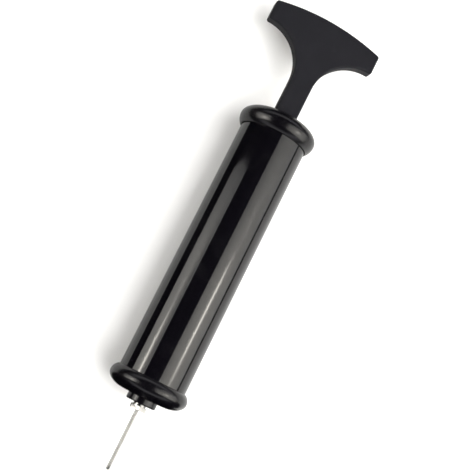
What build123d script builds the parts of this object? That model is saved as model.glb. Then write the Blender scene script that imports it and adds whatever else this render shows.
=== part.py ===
from build123d import *
import os
from math import acos, asin, cos, degrees, radians, sin, sqrt

# Hand pump for inflating balls, lying on a table: +Y runs along its axis from the needle to the handle,
# X runs across the T-grip and +Z is up. The origin is on the table, under the middle of the pump.
# Each piece is drawn standing up, with z as its height above the bottom cap's underside, and is then
# laid down by lay_down().

# ---- driving dimensions, millimetres ----
BARREL_OD = 36.0
BARREL_WALL = 1.5
BEAD_OD = 42.0               # both caps: the pump lies on these two beads
BARREL_BOTTOM_Z = 4.4        # barrel's lower end, inside the bottom cap
BARREL_TOP_Z = 152.2         # barrel's upper end, inside the top cap
FIT = 0.03                   # gap between pieces that are pressed or screwed together
SLIDE_GAP = 0.12             # gap round the sliding rod
CUT = 1.0                    # how far a cutter reaches past the face that it cuts
NEAR = 0.01                  # slack when an edge is picked by its place

# bottom cap
BOTTOM_EQUATOR_Z = 5.8       # widest ring of the bead
BOTTOM_CHEEK_R = 5.3         # round shoulder between that ring and the barrel
BOTTOM_DOME_WIDTH = 10.0     # elliptical underside: radial and axial half-axes
BOTTOM_EDGE_R = 18.45        # cap's thin upper edge
CAP_FLOOR_Z = 5.2            # inside face of the bottom cap's floor
CAP_PLUG_TOP_Z = 9.0         # ring that stands inside the barrel's lower end
CAP_PLUG_INNER_R = 14.2
CAP_BOSS_R = 9.2             # threaded boss round the nozzle
CAP_BOSS_TOP_Z = 10.0
GASKET_HEIGHT = 1.0

# top cap
TOP_LIP_Z = 147.5            # lower edge of the overhanging lip
TOP_EQUATOR_Z = 152.9
TOP_CHEEK_R = 7.5
TOP_DOME_WIDTH = 12.0
TOP_DOME_HEIGHT = 6.9
TOP_RECESS_R = 13.0          # pocket under the roof that takes the rod guide
TOP_RECESS_Z = 156.6         # underside of the roof
LIP_GAP_R = 18.35            # dark gap between lip and barrel
LIP_GAP_HEIGHT = 1.4
ROOF_SLOT_GAP = 0.45         # wider than the guide's, so that only the guide touches the rod

# rod guide and wiper
GUIDE_BOTTOM_Z = 149.4
GUIDE_FLANGE_R = 14.6
GUIDE_FLANGE_HEIGHT = 1.6
WIPER_HEIGHT = 0.9

# rod and T-grip, one flat moulding
ROD_WIDTH = 12.4
ROD_THICKNESS = 8.0
ROD_EDGE_R = 1.2             # rounded long edges
ROD_BOTTOM_Z = 21.6
THROAT_R = 22.9              # finger arcs between shank and arms
THROAT_START_Z = 180.2
GRIP_HALF_WIDTH = 31.0
GRIP_END_TOP_Z = 214.0       # upper corner of each arm
GRIP_CROWN_Z = 217.9         # top of the grip's arched edge
GRIP_CORNER_R = 1.4          # upper corners of the arms
GRIP_UNDER_R = 1.3           # lower corners of the arms
POCKET_COUNT = 5             # lightening pockets on each broad face of the rod
POCKET_WIDTH = 7.0
POCKET_LENGTH = 18.0
POCKET_DEPTH = 2.4
POCKET_FIRST_Z = 41.0        # lower end of the lowest pocket, above the screw's hole
POCKET_PITCH = 21.0
POCKET_CORNER_R = 1.5

# piston at the rod's lower end
CARRIER_DISC_R = 15.9
CARRIER_DISC_BOTTOM_Z = 18.6
CARRIER_DISC_HEIGHT = 3.0
CARRIER_HUB_R = 10.5
CARRIER_HUB_TOP_Z = 28.0
NOTCH_COUNT = 4              # air notches in the disc's rim
NOTCH_DEPTH = 1.6
NOTCH_WIDTH = 5.0
BUMPER_OUTER_R = 14.6
BUMPER_TOP_Z = 29.5
BUMPER_EDGE_R = 0.6
STROKE_SPARE = 0.9           # left between bumper and guide at full stroke
CUP_BASE_HEIGHT = 2.0
CUP_WALL = 1.3
CUP_LIP_Z = 13.2             # lower edge of the cup, which faces the nozzle
CUP_OUTER_R = 16.44
CUP_CORNER = 1.0             # bevel inside the corner of base and wall
CUP_LIP_BEVEL = 0.5
CUP_HEEL = 1.3               # outer bevel at the back
WASHER_R = 9.0
WASHER_HEIGHT = 1.0
SCREW_SHANK_R = 1.9
SCREW_HEAD_R = 3.6
SCREW_HEAD_HEIGHT = 2.2
SCREW_HEAD_BEVEL = 0.8
SCREW_POINT_R = 0.6
SCREW_POINT_HEIGHT = 1.5
SCREW_TOP_Z = 37.0
CROSS_SLOT_WIDTH = 0.9
CROSS_SLOT_LENGTH = 4.2
CROSS_SLOT_DEPTH = 1.1

# nozzle, brass insert and check valve
COLLAR_R = 7.85
COLLAR_HEIGHT = 3.3
COLLAR_EDGE_R = 0.7
NOZZLE_SHANK_R = 6.2
NOZZLE_TOP_Z = 12.0
INSERT_OUTER_R = 4.8
INSERT_BORE_R = 3.88         # round the needle's thread
INSERT_BOTTOM_Z = -2.6
INSERT_TOP_Z = 3.5
INSERT_ROOF_HEIGHT = 0.6
AIR_HOLE_R = 1.0
MOUTH_R = 4.15               # collar's own hole, below the insert
CHAMBER_R = 2.9
SEAT_BOTTOM_Z = 10.2
SEAT_OUTER_R = 4.6
SEAT_HOLE_R = 1.5
SEAT_BEVEL = 0.8
BALL_R = 2.0
BALL_LIFT = 1.4
BALL_GAP = 0.02              # between the closed ball and the seat's edge
SPRING_MEAN_R = 1.35
SPRING_WIRE_R = 0.18
SPRING_TURNS = 4.5
O_RING_SECTION_R = 0.57
O_RING_GROOVE = 1.2          # depth and width of the rebate in the cap's underside

# needle
HUB_STUB_R = 3.82            # over the thread's crests
HUB_NECK_R = 3.3
HUB_STUB_TOP_Z = 1.9
HUB_THREAD_BOTTOM_Z = -3.6
HUB_HEX_TOP_Z = -4.4
HUB_HEX_BOTTOM_Z = -6.6
HUB_HEX_FLATS = 7.9          # across flats
HUB_HEX_CHAMFER = 0.35
HUB_HEX_TURN = 30.0          # a corner of the hexagon points up
NEEDLE_R = 0.95
NEEDLE_TOP_Z = -1.0          # tube's upper end, inside the hub
NEEDLE_ROOT_R = 1.25         # swaged stretch that is pressed into the hub
NEEDLE_BORE_R = 0.6
NEEDLE_EXPOSED = 32.0
NEEDLE_HOLE_WIDTH = 0.8
NEEDLE_HOLE_LENGTH = 1.6
NEEDLE_HOLE_FROM_TIP = 1.6
NEEDLE_GASKET_HEIGHT = 0.9

# ---- worked out ----
BEAD_R = BEAD_OD / 2
BARREL_R = BARREL_OD / 2
BORE_R = BARREL_R - BARREL_WALL
NEEDLE_TIP_Z = HUB_HEX_BOTTOM_Z - NEEDLE_EXPOSED
MIDDLE_Z = (GRIP_CROWN_Z + NEEDLE_TIP_Z) / 2
BALL_Z = SEAT_BOTTOM_Z - sqrt(BALL_R**2 - SEAT_HOLE_R**2) - BALL_GAP
WIPER_TOP_Z = TOP_RECESS_Z - FIT
GUIDE_TOP_Z = WIPER_TOP_Z - WIPER_HEIGHT
CUP_TOP_Z = CARRIER_DISC_BOTTOM_Z
CUP_BASE_Z = CUP_TOP_Z - CUP_BASE_HEIGHT
SCREW_HEAD_TOP_Z = CUP_BASE_Z - WASHER_HEIGHT
PLUNGER_STROKE = GUIDE_BOTTOM_Z - BUMPER_TOP_Z - STROKE_SPARE


def lay_down(shape):
    """Turn a piece from its drawn, upright place to its place in the lying pump."""
    return Pos(0, -MIDDLE_Z, BEAD_R) * Rot(-90, 0, 0) * shape


def turned(*points):
    """Revolve a closed outline of (radius, z) points about the pump's axis."""
    outline = Polyline(*[(r, 0, z) for r, z in points], close=True)
    return revolve(make_face(outline), Axis.Z, 360)


def ring(inner_r, outer_r, bottom_z, top_z):
    """Plain ring between two radii and two heights."""
    return turned((inner_r, bottom_z), (outer_r, bottom_z), (outer_r, top_z), (inner_r, top_z))


def disc(radius, bottom_z, top_z):
    """Solid round disc or rod on the axis."""
    return Pos(0, 0, (bottom_z + top_z) / 2) * Cylinder(radius, top_z - bottom_z)


def rounded_bar(width, thickness, corner_r, bottom_z, top_z):
    """Upright bar with a rounded rectangular section, for the rod's slots."""
    section = Pos(0, 0, bottom_z) * RectangleRounded(width, thickness, corner_r)
    return extrude(section, top_z - bottom_z)


def rod_slot(gap, bottom_z, top_z):
    """The hole that the rod passes through, wider than the rod by gap on every side."""
    return rounded_bar(ROD_WIDTH + 2 * gap, ROD_THICKNESS + 2 * gap, ROD_EDGE_R + gap, bottom_z, top_z)


def face_of(points, *curves):
    """Closed face from a run of straight (radius, z) points joined up by curved stretches."""
    straight = Polyline(*[(r, 0, z) for r, z in points])
    return make_face([straight] + list(curves))


def on_arc(centre_r, centre_z, radius, start_deg, end_deg):
    """Round outline stretch in the (radius, z) plane, angles from the outward direction."""
    middle_deg = (start_deg + end_deg) / 2
    at = [(centre_r + radius * cos(radians(a)), 0, centre_z + radius * sin(radians(a)))
          for a in (start_deg, middle_deg, end_deg)]
    return ThreePointArc(*at)


def on_dome(width, height, equator_z, side):
    """Quarter ellipse from the bead's widest ring to the edge of the flat; side is +1 up, -1 down."""
    flat_r = BEAD_R - width
    start = 0 if side > 0 else -90
    plane = Plane(origin=(flat_r, 0, equator_z), x_dir=(1, 0, 0), z_dir=(0, -1, 0))
    return plane * EllipticalCenterArc((0, 0), width, height, start_angle=start, arc_size=90)


def bottom_cap():
    """Bead cap that closes the barrel, with a plug ring and a threaded boss for the nozzle."""
    flat_r = BEAD_R - BOTTOM_DOME_WIDTH
    cheek_r = BEAD_R - BOTTOM_CHEEK_R
    edge_deg = degrees(acos((BOTTOM_EDGE_R - cheek_r) / BOTTOM_CHEEK_R))
    edge_z = BOTTOM_EQUATOR_Z + BOTTOM_CHEEK_R * sin(radians(edge_deg))
    groove_z = BARREL_BOTTOM_Z - GASKET_HEIGHT
    bore_r = NOZZLE_SHANK_R + FIT
    rebate_r = bore_r + O_RING_GROOVE
    inside = [(BOTTOM_EDGE_R, edge_z), (BARREL_R + FIT, edge_z), (BARREL_R + FIT, groove_z),
              (BORE_R - FIT, groove_z), (BORE_R - FIT, CAP_PLUG_TOP_Z), (CAP_PLUG_INNER_R, CAP_PLUG_TOP_Z),
              (CAP_PLUG_INNER_R, CAP_FLOOR_Z), (CAP_BOSS_R, CAP_FLOOR_Z), (CAP_BOSS_R, CAP_BOSS_TOP_Z),
              (bore_r, CAP_BOSS_TOP_Z), (bore_r, O_RING_GROOVE), (rebate_r, O_RING_GROOVE),
              (rebate_r, 0), (flat_r, 0)]
    underside = on_dome(BOTTOM_DOME_WIDTH, BOTTOM_EQUATOR_Z, BOTTOM_EQUATOR_Z, -1)
    shoulder = on_arc(cheek_r, BOTTOM_EQUATOR_Z, BOTTOM_CHEEK_R, 0, edge_deg)
    return revolve(face_of(inside, underside, shoulder), Axis.Z, 360)


def top_cap():
    """Bead cap whose lip overhangs the barrel, with a slot for the rod and a pocket for its guide."""
    flat_r = BEAD_R - TOP_DOME_WIDTH
    roof_z = TOP_EQUATOR_Z + TOP_DOME_HEIGHT
    cheek_r = BEAD_R - TOP_CHEEK_R
    lip_deg = degrees(asin((TOP_LIP_Z - TOP_EQUATOR_Z) / TOP_CHEEK_R))
    lip_r = cheek_r + TOP_CHEEK_R * cos(radians(lip_deg))
    flange_z = GUIDE_BOTTOM_Z + GUIDE_FLANGE_HEIGHT
    gap_z = TOP_LIP_Z + LIP_GAP_HEIGHT
    inside = [(flat_r, roof_z), (0, roof_z), (0, TOP_RECESS_Z), (TOP_RECESS_R + FIT, TOP_RECESS_Z),
              (TOP_RECESS_R + FIT, flange_z), (GUIDE_FLANGE_R + FIT, flange_z),
              (GUIDE_FLANGE_R + FIT, GUIDE_BOTTOM_Z), (BORE_R - FIT, GUIDE_BOTTOM_Z),
              (BORE_R - FIT, BARREL_TOP_Z + FIT), (BARREL_R + FIT, BARREL_TOP_Z + FIT),
              (BARREL_R + FIT, gap_z), (LIP_GAP_R, gap_z), (LIP_GAP_R, TOP_LIP_Z), (lip_r, TOP_LIP_Z)]
    shoulder = on_arc(cheek_r, TOP_EQUATOR_Z, TOP_CHEEK_R, lip_deg, 0)
    dome = on_dome(TOP_DOME_WIDTH, TOP_DOME_HEIGHT, TOP_EQUATOR_Z, 1)
    cap = revolve(face_of(inside, shoulder, dome), Axis.Z, 360)
    return cap - rod_slot(ROOF_SLOT_GAP, TOP_RECESS_Z - CUT, roof_z + CUT)


def barrel():
    """Straight tube, open at both ends."""
    return ring(BORE_R, BARREL_R, BARREL_BOTTOM_Z, BARREL_TOP_Z)


def barrel_gasket():
    """Flat rubber ring between the barrel's end and the bottom cap."""
    top_z = BARREL_BOTTOM_Z - FIT
    return ring(BORE_R, BARREL_R, top_z - GASKET_HEIGHT + 2 * FIT, top_z)


def rod_guide():
    """Flanged bush in the top cap whose slot keeps the rod straight."""
    flange_z = GUIDE_BOTTOM_Z + GUIDE_FLANGE_HEIGHT - FIT
    bush = disc(TOP_RECESS_R, GUIDE_BOTTOM_Z, GUIDE_TOP_Z) + disc(GUIDE_FLANGE_R, GUIDE_BOTTOM_Z, flange_z)
    return bush - rod_slot(SLIDE_GAP, GUIDE_BOTTOM_Z - CUT, GUIDE_TOP_Z + CUT)


def rod_wiper():
    """Thin rubber plate above the guide that wipes the rod."""
    plate = disc(TOP_RECESS_R, GUIDE_TOP_Z + FIT, WIPER_TOP_Z)
    return plate - rod_slot(SLIDE_GAP / 2, GUIDE_TOP_Z - CUT, WIPER_TOP_Z + CUT)


def handle_rod():
    """Flat T-grip and flat rod in one moulding, with lightening pockets on both broad faces."""
    half = ROD_WIDTH / 2
    arm_x = half + THROAT_R
    arm_z = THROAT_START_Z + THROAT_R
    throat_mid = (arm_x - THROAT_R * cos(radians(45)), THROAT_START_Z + THROAT_R * sin(radians(45)))
    corner = (GRIP_HALF_WIDTH, GRIP_END_TOP_Z)
    right = [Line((0, ROD_BOTTOM_Z), (half, ROD_BOTTOM_Z)),
             Line((half, ROD_BOTTOM_Z), (half, THROAT_START_Z)),
             ThreePointArc((half, THROAT_START_Z), throat_mid, (arm_x, arm_z)),
             Line((arm_x, arm_z), (GRIP_HALF_WIDTH, arm_z)),
             Line((GRIP_HALF_WIDTH, arm_z), corner)]
    left = [mirror(edge, Plane.YZ) for edge in right]
    crown = ThreePointArc(corner, (0, GRIP_CROWN_Z), (-corner[0], corner[1]))
    outline = make_face(right + left + [crown])
    blade = extrude(Plane.XZ * outline, ROD_THICKNESS / 2, both=True)
    for height, radius in ((GRIP_END_TOP_Z, GRIP_CORNER_R), (arm_z, GRIP_UNDER_R)):
        corners = blade.edges().filter_by(Axis.Y)
        corners = corners.filter_by(lambda e: abs(e.center().X) > GRIP_HALF_WIDTH - NEAR)
        blade = fillet(corners.filter_by(lambda e: abs(e.center().Z - height) < NEAR), radius)
    rims = blade.faces().filter_by(Axis.Y).edges()
    rims = rims.filter_by(lambda e: e.center().Z > ROD_BOTTOM_Z + NEAR)
    blade = fillet(rims, ROD_EDGE_R)
    blade -= disc(SCREW_SHANK_R + FIT, ROD_BOTTOM_Z - CUT, SCREW_TOP_Z + CUT)
    for side in (-1, 1):
        for step in range(POCKET_COUNT):
            middle_z = POCKET_FIRST_Z + step * POCKET_PITCH + POCKET_LENGTH / 2
            face_y = side * ROD_THICKNESS / 2
            plane = Plane(origin=(0, face_y, middle_z), x_dir=(1, 0, 0), z_dir=(0, side, 0))
            pocket = plane * RectangleRounded(POCKET_WIDTH, POCKET_LENGTH, POCKET_CORNER_R)
            blade -= extrude(pocket, -POCKET_DEPTH)
    return blade


def piston_carrier():
    """Disc and socketed hub on the rod's end, notched at the rim to let air past on the up stroke."""
    disc_top = CARRIER_DISC_BOTTOM_Z + CARRIER_DISC_HEIGHT
    carrier = disc(CARRIER_DISC_R, CARRIER_DISC_BOTTOM_Z + FIT, disc_top)
    carrier += disc(CARRIER_HUB_R, CARRIER_DISC_BOTTOM_Z + FIT, CARRIER_HUB_TOP_Z)
    carrier -= disc(SCREW_SHANK_R + 2 * FIT, CARRIER_DISC_BOTTOM_Z - CUT, disc_top + CUT)
    carrier -= rounded_bar(ROD_WIDTH + 2 * FIT, ROD_THICKNESS + 2 * FIT, ROD_EDGE_R,
                           ROD_BOTTOM_Z - FIT, CARRIER_HUB_TOP_Z + CUT)
    notch = Pos(0, 0, CARRIER_DISC_BOTTOM_Z) * Box(2 * NOTCH_DEPTH, NOTCH_WIDTH, 3 * CARRIER_DISC_HEIGHT)
    for place in PolarLocations(CARRIER_DISC_R, NOTCH_COUNT):
        carrier -= place * notch
    return carrier


def bumper_ring():
    """Rubber ring round the carrier's hub that meets the rod guide at full stroke."""
    bottom_z = CARRIER_DISC_BOTTOM_Z + CARRIER_DISC_HEIGHT + FIT
    ring_solid = ring(CARRIER_HUB_R + FIT, BUMPER_OUTER_R, bottom_z, BUMPER_TOP_Z)
    rims = ring_solid.edges().filter_by(lambda e: e.center().Z > BUMPER_TOP_Z - NEAR)
    return fillet(rims, BUMPER_EDGE_R)


def cup_seal():
    """Rubber cup, its lip facing the nozzle, that seals in the barrel on the down stroke."""
    hole_r = SCREW_SHANK_R + 2 * FIT
    back_z = CUP_TOP_Z - FIT
    inner_r = CUP_OUTER_R - CUP_WALL
    return turned((hole_r, CUP_BASE_Z), (inner_r - CUP_CORNER, CUP_BASE_Z),
                  (inner_r, CUP_BASE_Z - CUP_CORNER), (inner_r, CUP_LIP_Z),
                  (CUP_OUTER_R - CUP_LIP_BEVEL, CUP_LIP_Z),
                  (CUP_OUTER_R, CUP_LIP_Z + CUP_LIP_BEVEL), (CUP_OUTER_R, CUP_TOP_Z - CUP_HEEL),
                  (CUP_OUTER_R - CUP_HEEL, back_z), (hole_r, back_z))


def backing_washer():
    """Steel washer that spreads the screw head's grip over the cup."""
    return ring(SCREW_SHANK_R + 2 * FIT, WASHER_R, SCREW_HEAD_TOP_Z, CUP_BASE_Z - FIT)


def piston_screw():
    """Pan head screw from below, through washer, cup and carrier into the rod."""
    bottom_z = SCREW_HEAD_TOP_Z - SCREW_HEAD_HEIGHT
    seat_z = SCREW_HEAD_TOP_Z - FIT
    screw = turned((0, bottom_z), (SCREW_HEAD_R - SCREW_HEAD_BEVEL, bottom_z),
                   (SCREW_HEAD_R, bottom_z + SCREW_HEAD_BEVEL), (SCREW_HEAD_R, seat_z),
                   (SCREW_SHANK_R, seat_z), (SCREW_SHANK_R, SCREW_TOP_Z - SCREW_POINT_HEIGHT),
                   (SCREW_POINT_R, SCREW_TOP_Z), (0, SCREW_TOP_Z))
    slot = Box(CROSS_SLOT_LENGTH, CROSS_SLOT_WIDTH, 2 * CROSS_SLOT_DEPTH)
    slot += Box(CROSS_SLOT_WIDTH, CROSS_SLOT_LENGTH, 2 * CROSS_SLOT_DEPTH)
    return screw - Pos(0, 0, bottom_z) * slot


def nozzle_body():
    """Screwed-in nozzle: visible collar below the cap, valve chamber above the brass insert."""
    pocket_r = INSERT_OUTER_R + FIT
    seat_r = SEAT_OUTER_R + FIT
    body = turned((MOUTH_R, -COLLAR_HEIGHT), (COLLAR_R, -COLLAR_HEIGHT), (COLLAR_R, -FIT),
                  (NOZZLE_SHANK_R, -FIT), (NOZZLE_SHANK_R, NOZZLE_TOP_Z), (seat_r, NOZZLE_TOP_Z),
                  (seat_r, SEAT_BOTTOM_Z - FIT), (CHAMBER_R, SEAT_BOTTOM_Z - FIT),
                  (CHAMBER_R, INSERT_TOP_Z + FIT), (pocket_r, INSERT_TOP_Z + FIT),
                  (pocket_r, INSERT_BOTTOM_Z), (MOUTH_R, INSERT_BOTTOM_Z))
    rim = body.edges().filter_by(lambda e: abs(e.bounding_box().max.Z + COLLAR_HEIGHT) < NEAR)
    return fillet(rim.sort_by(Edge.length)[-1], COLLAR_EDGE_R)


def nozzle_o_ring():
    """Rubber ring in the cap's rebate, above the collar."""
    centre_r = NOZZLE_SHANK_R + FIT + O_RING_GROOVE / 2
    return Pos(0, 0, O_RING_GROOVE / 2) * Torus(centre_r, O_RING_SECTION_R)


def nozzle_insert():
    """Brass insert moulded into the nozzle; its bore takes the needle's thread."""
    roof_z = INSERT_TOP_Z - INSERT_ROOF_HEIGHT
    return turned((INSERT_BORE_R, INSERT_BOTTOM_Z + FIT), (INSERT_OUTER_R, INSERT_BOTTOM_Z + FIT),
                  (INSERT_OUTER_R, INSERT_TOP_Z), (AIR_HOLE_R, INSERT_TOP_Z), (AIR_HOLE_R, roof_z),
                  (INSERT_BORE_R, roof_z))


def valve_seat():
    """Ring pressed into the nozzle's inner end; the check ball closes its hole."""
    return turned((SEAT_HOLE_R, SEAT_BOTTOM_Z), (SEAT_OUTER_R, SEAT_BOTTOM_Z),
                  (SEAT_OUTER_R, NOZZLE_TOP_Z - FIT), (SEAT_HOLE_R + SEAT_BEVEL, NOZZLE_TOP_Z - FIT),
                  (SEAT_HOLE_R, NOZZLE_TOP_Z - SEAT_BEVEL))


def valve_ball():
    """Steel check ball, closed against its seat."""
    return Pos(0, 0, BALL_Z) * Sphere(BALL_R)


def valve_spring():
    """Coil spring between the insert and the ball."""
    reach = BALL_R + SPRING_WIRE_R + FIT
    top_z = BALL_Z - sqrt(reach**2 - SPRING_MEAN_R**2)
    bottom_z = INSERT_TOP_Z + SPRING_WIRE_R + FIT
    height = top_z - bottom_z
    path = Helix(pitch=height / SPRING_TURNS, height=height, radius=SPRING_MEAN_R)
    coil = sweep(Plane(origin=path @ 0, z_dir=path % 0) * Circle(SPRING_WIRE_R), path, is_frenet=True)
    return Pos(0, 0, bottom_z) * coil


def needle_gasket():
    """Rubber washer on the end of the needle's stub."""
    bottom_z = HUB_STUB_TOP_Z + FIT
    return ring(AIR_HOLE_R, HUB_STUB_R - 2 * FIT, bottom_z, bottom_z + NEEDLE_GASKET_HEIGHT)


def needle_hub():
    """Hexagon with a neck and a stub; the stub is drawn over the crests of its thread."""
    height = HUB_HEX_TOP_Z - HUB_HEX_BOTTOM_Z
    hexagon = RegularPolygon(HUB_HEX_FLATS / 2, 6, major_radius=False, rotation=HUB_HEX_TURN)
    prism = extrude(hexagon, height)
    corner_r = HUB_HEX_FLATS / 2 / cos(radians(30))
    cone = Pos(0, 0, height / 2) * Cylinder(corner_r, height)
    cone = chamfer(cone.edges().filter_by(GeomType.CIRCLE), HUB_HEX_CHAMFER)
    hub = Pos(0, 0, HUB_HEX_BOTTOM_Z) * (prism & cone)
    hub += disc(HUB_NECK_R, HUB_HEX_TOP_Z, HUB_THREAD_BOTTOM_Z)
    stub_top = HUB_STUB_TOP_Z - HUB_HEX_CHAMFER
    hub += turned((0, HUB_THREAD_BOTTOM_Z), (HUB_STUB_R, HUB_THREAD_BOTTOM_Z), (HUB_STUB_R, stub_top),
                  (HUB_STUB_R - HUB_HEX_CHAMFER, HUB_STUB_TOP_Z), (0, HUB_STUB_TOP_Z))
    hub -= disc(NEEDLE_BORE_R, HUB_HEX_BOTTOM_Z - CUT, HUB_STUB_TOP_Z + CUT)
    return hub - disc(NEEDLE_ROOT_R + FIT / 2, HUB_HEX_BOTTOM_Z - CUT, NEEDLE_TOP_Z + FIT)


def needle_tube():
    """Thin steel tube with a closed round tip, a side hole for the air and a swaged root in the hub."""
    tube = disc(NEEDLE_R, NEEDLE_TIP_Z + NEEDLE_R, NEEDLE_TOP_Z)
    tube += disc(NEEDLE_ROOT_R, HUB_HEX_BOTTOM_Z, NEEDLE_TOP_Z)
    tube += Pos(0, 0, NEEDLE_TIP_Z + NEEDLE_R) * Sphere(NEEDLE_R)
    tube -= disc(NEEDLE_BORE_R, NEEDLE_TIP_Z + NEEDLE_R, NEEDLE_TOP_Z + CUT)
    hole_z = NEEDLE_TIP_Z + NEEDLE_HOLE_FROM_TIP
    hole_plane = Plane(origin=(0, 0, hole_z), x_dir=(0, 0, 1), z_dir=(0, -1, 0))
    hole = hole_plane * SlotOverall(NEEDLE_HOLE_LENGTH, NEEDLE_HOLE_WIDTH)
    return tube - extrude(hole, NEEDLE_R + CUT)


PIECES = {
    "barrel": barrel,
    "bottom_cap": bottom_cap,
    "barrel_gasket": barrel_gasket,
    "top_cap": top_cap,
    "rod_guide": rod_guide,
    "rod_wiper": rod_wiper,
    "nozzle_body": nozzle_body,
    "nozzle_o_ring": nozzle_o_ring,
    "nozzle_insert": nozzle_insert,
    "valve_seat": valve_seat,
    "valve_spring": valve_spring,
    "valve_ball": valve_ball,
    "needle_gasket": needle_gasket,
    "needle_hub": needle_hub,
    "needle_tube": needle_tube,
    "handle_rod": handle_rod,
    "piston_carrier": piston_carrier,
    "bumper_ring": bumper_ring,
    "cup_seal": cup_seal,
    "backing_washer": backing_washer,
    "piston_screw": piston_screw,
}

os.makedirs("parts", exist_ok=True)
for name, make_piece in PIECES.items():
    export_step(lay_down(make_piece()), f"parts/{name}.step")

print(f"plunger stroke {PLUNGER_STROKE:.1f} mm, ball lift {BALL_LIFT:.1f} mm")
print(f"needle tip at y {NEEDLE_TIP_Z - MIDDLE_Z:.2f} mm")
print(f"roof of the top cap at y {TOP_EQUATOR_Z + TOP_DOME_HEIGHT - MIDDLE_Z:.2f} mm")
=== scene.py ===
# %% [markdown]
# # A ball inflation pump
# This lesson dresses a small hand pump for balls. The pump lies on a white table: a T-grip on a flat rod,
# a straight black barrel between two bead-shaped caps, and a steel needle that screws into a small nozzle.
# The working parts come ready made, in metres, with every joint in place. They are the frame, and are
# never moved. A shape that deserves more detail is modelled again here, and stands for its working part.

# %% Load the working parts
import math
import bpy
from mathutils import Matrix, Vector


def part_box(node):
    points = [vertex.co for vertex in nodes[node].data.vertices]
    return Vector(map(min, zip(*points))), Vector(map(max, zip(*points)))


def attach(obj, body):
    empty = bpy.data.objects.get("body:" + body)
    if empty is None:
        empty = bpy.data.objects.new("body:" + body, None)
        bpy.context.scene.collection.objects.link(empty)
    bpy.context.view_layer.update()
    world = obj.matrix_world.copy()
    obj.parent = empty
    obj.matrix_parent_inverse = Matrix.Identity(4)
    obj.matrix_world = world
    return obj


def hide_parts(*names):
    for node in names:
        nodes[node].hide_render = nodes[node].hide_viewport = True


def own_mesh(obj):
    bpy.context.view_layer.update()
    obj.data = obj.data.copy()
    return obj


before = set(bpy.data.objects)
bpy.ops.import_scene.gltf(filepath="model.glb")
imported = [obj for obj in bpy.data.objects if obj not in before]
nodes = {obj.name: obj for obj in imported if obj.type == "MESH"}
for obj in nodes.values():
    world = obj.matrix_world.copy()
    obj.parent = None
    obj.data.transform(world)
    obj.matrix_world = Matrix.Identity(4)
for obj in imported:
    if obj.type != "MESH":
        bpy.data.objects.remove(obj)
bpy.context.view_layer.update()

# %% [markdown]
# ## Sizes that everything else follows
# All places are read from the working parts, so the looks and the mechanism can't drift apart. The pump is
# a turned object, so one line matters most: its axis, which runs along Y at the height of the beads' radius.
# Y grows from the needle to the handle. Heights along the axis are easiest to think of from the underside
# of the bottom cap, so `along` turns such a height in millimetres into a Y in metres.

# %% Axis, beads and walls
MM = 0.001
BEAD_R = (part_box("bottom_cap")[1].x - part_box("bottom_cap")[0].x) / 2
AXIS_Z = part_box("bottom_cap")[0].z + BEAD_R
CAP_FOOT_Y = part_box("bottom_cap")[0].y
BARREL_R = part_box("barrel")[1].x
WALL = 1.5 * MM
BORE_R = BARREL_R - WALL
PRESSED = 0.03 * MM


def along(height):
    """Y of a height over the bottom cap's underside, in millimetres."""
    return CAP_FOOT_Y + height * MM


print(f"axis {AXIS_Z / MM:.1f} mm above the table, beads {2 * BEAD_R / MM:.1f} mm across")

# %% [markdown]
# ## Turning on a lathe
# The barrel, both caps, the nozzle and the needle are all round, as if cut on a lathe. In Blender that is
# the Spin tool: draw half of the section as a chain of edges, then sweep it once round the axis. A chain
# is drawn by merging a small plane to one corner and extruding that corner from point to point, which is
# what Ctrl and a click does by hand. Round stretches of the section come from `bend`, which walks along
# part of a circle or an ellipse, so a curve is never a list of typed-in numbers.

# %% Outline helpers
def bend(centre_r, centre_y, half_r, half_y, start, end, steps=20):
    """Points along part of a circle or ellipse in the section; angles in degrees from outward."""
    angles = [math.radians(start + (end - start) * i / steps) for i in range(steps + 1)]
    return [(centre_r + half_r * math.cos(a), centre_y + half_y * math.sin(a)) for a in angles]


def closed(points):
    """A chain that ends where it began."""
    return points + points[:1]


def draw_chain(name, places):
    """Draw a chain of edges through the places and leave it open in edit mode."""
    bpy.ops.object.select_all(action="DESELECT")
    bpy.ops.mesh.primitive_plane_add(size=MM, location=places[0])
    piece = bpy.context.object
    piece.name = piece.data.name = name
    bpy.ops.object.transform_apply(location=True, rotation=True, scale=True)
    bpy.ops.object.mode_set(mode="EDIT")
    bpy.ops.mesh.merge(type="CENTER")
    for here, there in zip(places, places[1:]):
        bpy.ops.mesh.extrude_region_move(TRANSFORM_OT_translate={"value": Vector(there) - Vector(here)})
    bpy.ops.mesh.select_all(action="SELECT")
    return piece


# %% [markdown]
# ## Edges that catch the light
# No moulding or turned part has a perfectly sharp edge. A small bevel on every sharp rim gives it the thin
# bright line that tells the eye how big and how hard the thing is. The rest is shaded smooth by angle. A
# weighted normal then gives each corner the direction of its largest face, so that a tiny bevel can't
# bend the light on the long straight faces beside it.

# %% Finishing helpers
MERGE = 0.002 * MM
SHARP = math.radians(32)


def only(piece):
    """Select one object and nothing else."""
    bpy.ops.object.select_all(action="DESELECT")
    piece.select_set(True)
    bpy.context.view_layer.objects.active = piece


def apply_modifiers(piece):
    """Make every modifier on the piece part of its mesh."""
    only(piece)
    for modifier in list(piece.modifiers):
        bpy.ops.object.modifier_apply(modifier=modifier.name)


def smooth(piece):
    """Shade smooth up to the sharp angle, each corner following its largest face."""
    only(piece)
    bpy.ops.object.shade_smooth_by_angle(angle=SHARP)
    weighted = piece.modifiers.new("weighted", "WEIGHTED_NORMAL")
    weighted.mode, weighted.weight, weighted.keep_sharp = "FACE_AREA", 50, True
    apply_modifiers(piece)
    return piece


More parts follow.
